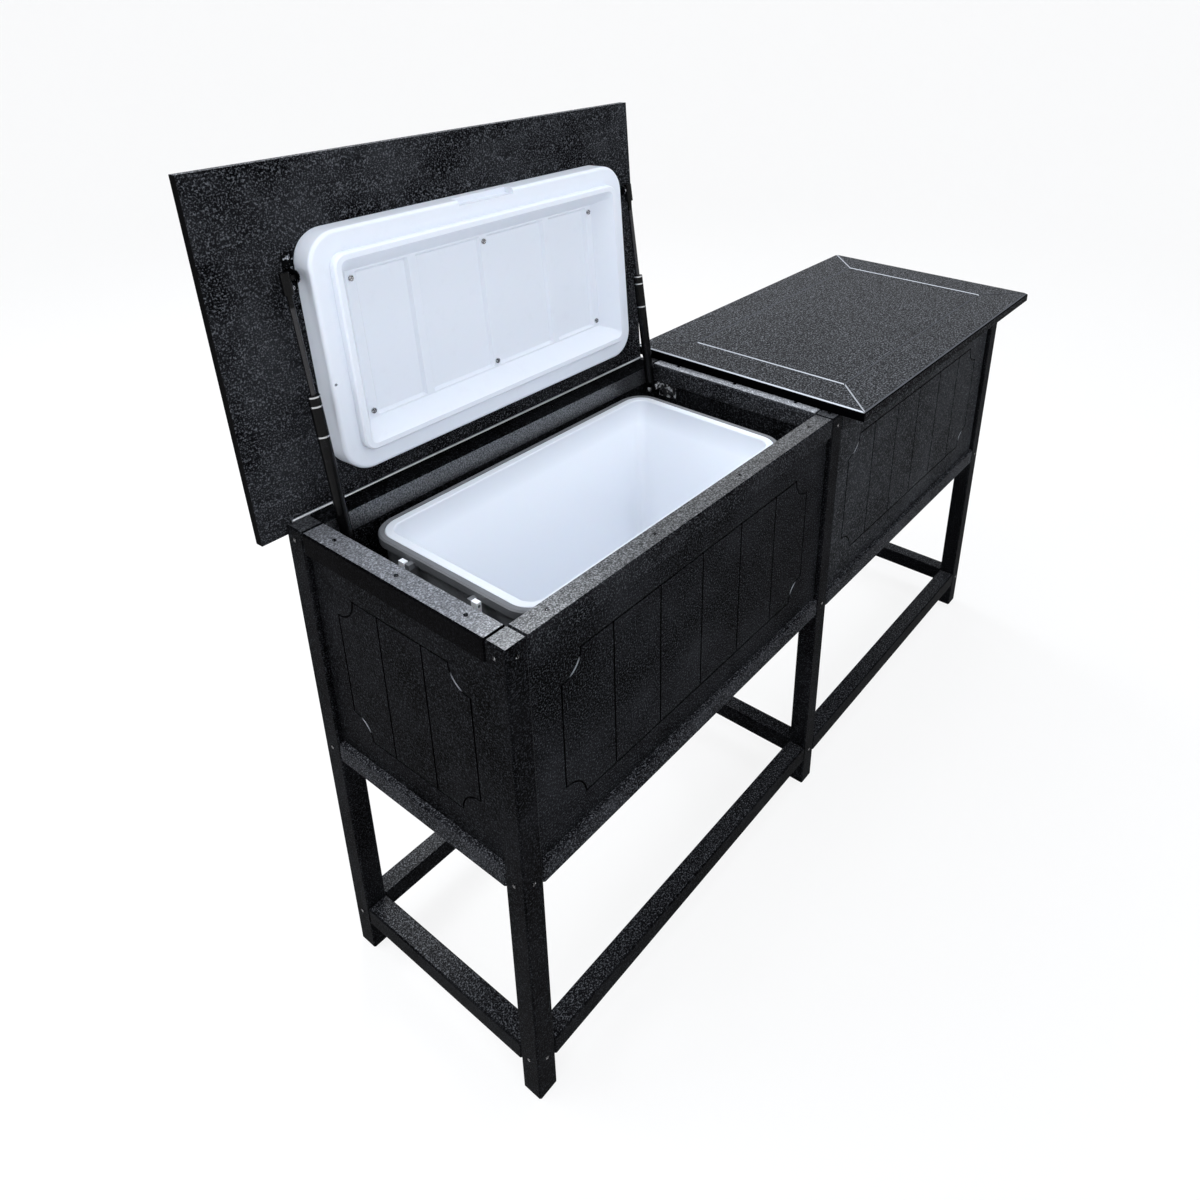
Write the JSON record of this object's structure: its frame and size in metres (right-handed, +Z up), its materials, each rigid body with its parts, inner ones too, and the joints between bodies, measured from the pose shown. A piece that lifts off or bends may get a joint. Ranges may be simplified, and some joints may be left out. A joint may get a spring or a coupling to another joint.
{
  "type": "cooler table with lid",
  "caption": "Long patio side table whose hinged lids cover drop-in coolers, held open by gas struts.",
  "frame": {"origin": "on the floor, under the middle of the whole object's box with the left lid open", "axes": "+X along the table from the open bay to the closed bay, +Z up, -Y towards the front where the user stands"},
  "size_m": [1.727, 0.5638, 1.3958],
  "materials": {
    "lumber": "fine pebbled black",
    "skirt_board": "fine pebbled black",
    "lid_board": "fine pebbled black",
    "cooler_shell": "textured charcoal",
    "white_liner": "smooth white",
    "white_lid": "smooth white",
    "white_handle": "smooth white",
    "foam": "rigid foam",
    "hinge_steel": "plated",
    "screw_steel": "plated",
    "strut_rod": "black nitrided",
    "strut_cylinder": "satin black",
    "bracket_steel": "satin black"
  },
  "bodies": {
    "root": {"bottom_rails_back": "lumber", "bottom_rails_cross": "lumber", "bottom_rails_front": "lumber", "cooler_foam_left": "foam", "cooler_foam_right": "foam", "cooler_liner_left": "white_liner", "cooler_liner_right": "white_liner", "cooler_shell_left": "cooler_shell", "cooler_shell_right": "cooler_shell", "deck_boards": "skirt_board", "divider_board": "skirt_board", "frame_screws": "screw_steel", "hinge_frame_leaf_left": "hinge_steel", "hinge_frame_leaf_right": "hinge_steel", "hinge_pins": "hinge_steel", "panel_back_left": "skirt_board", "panel_back_right": "skirt_board", "panel_end_left": "skirt_board", "panel_end_right": "skirt_board", "panel_front_left": "skirt_board", "panel_front_right": "skirt_board", "post_back_left": "lumber", "post_back_middle": "lumber", "post_back_right": "lumber", "post_front_left": "lumber", "post_front_middle": "lumber", "post_front_right": "lumber", "stretchers_back": "lumber", "stretchers_cross": "lumber", "stretchers_front": "lumber", "strut_frame_brackets": "bracket_steel", "top_rail_back_left": "lumber", "top_rail_back_right": "lumber", "top_rail_end_left": "lumber", "top_rail_end_right": "lumber", "top_rail_front_left": "lumber", "top_rail_front_right": "lumber", "top_rail_middle": "lumber"},
    "lid_left": {"table_lid_left": "lid_board", "cooler_lid_left": "white_lid", "hinge_lid_leaf_left": "hinge_steel", "strut_lid_brackets_left": "bracket_steel", "lid_screws_left": "screw_steel"},
    "cylinder_left_left": {"strut_cylinder_left_left": "strut_cylinder"},
    "rod_left_left": {"strut_rod_left_left": "strut_rod"},
    "bail_left_left": {"bail_left_left": "white_handle"},
    "cylinder_left_right": {"strut_cylinder_left_right": "strut_cylinder"},
    "rod_left_right": {"strut_rod_left_right": "strut_rod"},
    "bail_left_right": {"bail_left_right": "white_handle"},
    "lid_right": {"table_lid_right": "lid_board", "cooler_lid_right": "white_lid", "hinge_lid_leaf_right": "hinge_steel", "strut_lid_brackets_right": "bracket_steel", "lid_screws_right": "screw_steel"},
    "cylinder_right_left": {"strut_cylinder_right_left": "strut_cylinder"},
    "rod_right_left": {"strut_rod_right_left": "strut_rod"},
    "bail_right_left": {"bail_right_left": "white_handle"},
    "cylinder_right_right": {"strut_cylinder_right_right": "strut_cylinder"},
    "rod_right_right": {"strut_rod_right_right": "strut_rod"},
    "bail_right_right": {"bail_right_right": "white_handle"}
  },
  "joints": [
    {"name": "lid_hinge_left", "type": "hinge", "parent": "root", "child": "lid_left", "pos_m": [-0.40325, 0.22771, 0.8874], "axis": [-1, 0, 0], "range_deg": [-93.7, 0]},
    {"name": "strut_swing_left_left", "type": "hinge", "parent": "root", "child": "cylinder_left_left", "pos_m": [-0.7625, 0.17011, 0.846], "axis": [-1, 0, 0], "range_deg": [-94.8, 0]},
    {"name": "strut_stroke_left_left", "type": "slide", "parent": "cylinder_left_left", "child": "rod_left_left", "axis": [0, 0.1396, 0.9902], "range_m": [-0.10332, 0]},
    {"name": "bail_swing_left_left", "type": "hinge", "parent": "root", "child": "bail_left_left", "pos_m": [-0.7375, 0.00011, 0.835], "axis": [0, 1, 0], "range_deg": [0, 35]},
    {"name": "strut_swing_left_right", "type": "hinge", "parent": "root", "child": "cylinder_left_right", "pos_m": [-0.044, 0.17011, 0.846], "axis": [-1, 0, 0], "range_deg": [-94.8, 0]},
    {"name": "strut_stroke_left_right", "type": "slide", "parent": "cylinder_left_right", "child": "rod_left_right", "axis": [0, 0.1396, 0.9902], "range_m": [-0.10332, 0]},
    {"name": "bail_swing_left_right", "type": "hinge", "parent": "root", "child": "bail_left_right", "pos_m": [-0.069, 0.00011, 0.835], "axis": [0, -1, 0], "range_deg": [0, 35]},
    {"name": "lid_hinge_right", "type": "hinge", "parent": "root", "child": "lid_right", "pos_m": [0.40325, 0.22771, 0.8874], "axis": [-1, 0, 0], "range_deg": [0, 93.7]},
    {"name": "strut_swing_right_left", "type": "hinge", "parent": "root", "child": "cylinder_right_left", "pos_m": [0.044, 0.17011, 0.846], "axis": [-1, 0, 0], "range_deg": [0, 94.8]},
    {"name": "strut_stroke_right_left", "type": "slide", "parent": "cylinder_right_left", "child": "rod_right_left", "axis": [0, -0.9984, 0.0567], "range_m": [0, 0.10332]},
    {"name": "bail_swing_right_left", "type": "hinge", "parent": "root", "child": "bail_right_left", "pos_m": [0.069, 0.00011, 0.835], "axis": [0, 1, 0], "range_deg": [0, 35]},
    {"name": "strut_swing_right_right", "type": "hinge", "parent": "root", "child": "cylinder_right_right", "pos_m": [0.7625, 0.17011, 0.846], "axis": [-1, 0, 0], "range_deg": [0, 94.8]},
    {"name": "strut_stroke_right_right", "type": "slide", "parent": "cylinder_right_right", "child": "rod_right_right", "axis": [0, -0.9984, 0.0567], "range_m": [0, 0.10332]},
    {"name": "bail_swing_right_right", "type": "hinge", "parent": "root", "child": "bail_right_right", "pos_m": [0.7375, 0.00011, 0.835], "axis": [0, -1, 0], "range_deg": [0, 35]}
  ],
  "couplings": [
    {"joint": "strut_swing_left_left", "follows": "lid_hinge_left", "ratio": 1.0115},
    {"joint": "strut_stroke_left_left", "follows": "lid_hinge_left", "m_per_rad": 0.063164},
    {"joint": "strut_swing_left_right", "follows": "lid_hinge_left", "ratio": 1.0115},
    {"joint": "strut_stroke_left_right", "follows": "lid_hinge_left", "m_per_rad": 0.063164},
    {"joint": "strut_swing_right_left", "follows": "lid_hinge_right", "ratio": 1.0115},
    {"joint": "strut_stroke_right_left", "follows": "lid_hinge_right", "m_per_rad": 0.063164},
    {"joint": "strut_swing_right_right", "follows": "lid_hinge_right", "ratio": 1.0115},
    {"joint": "strut_stroke_right_right", "follows": "lid_hinge_right", "m_per_rad": 0.063164}
  ]
}
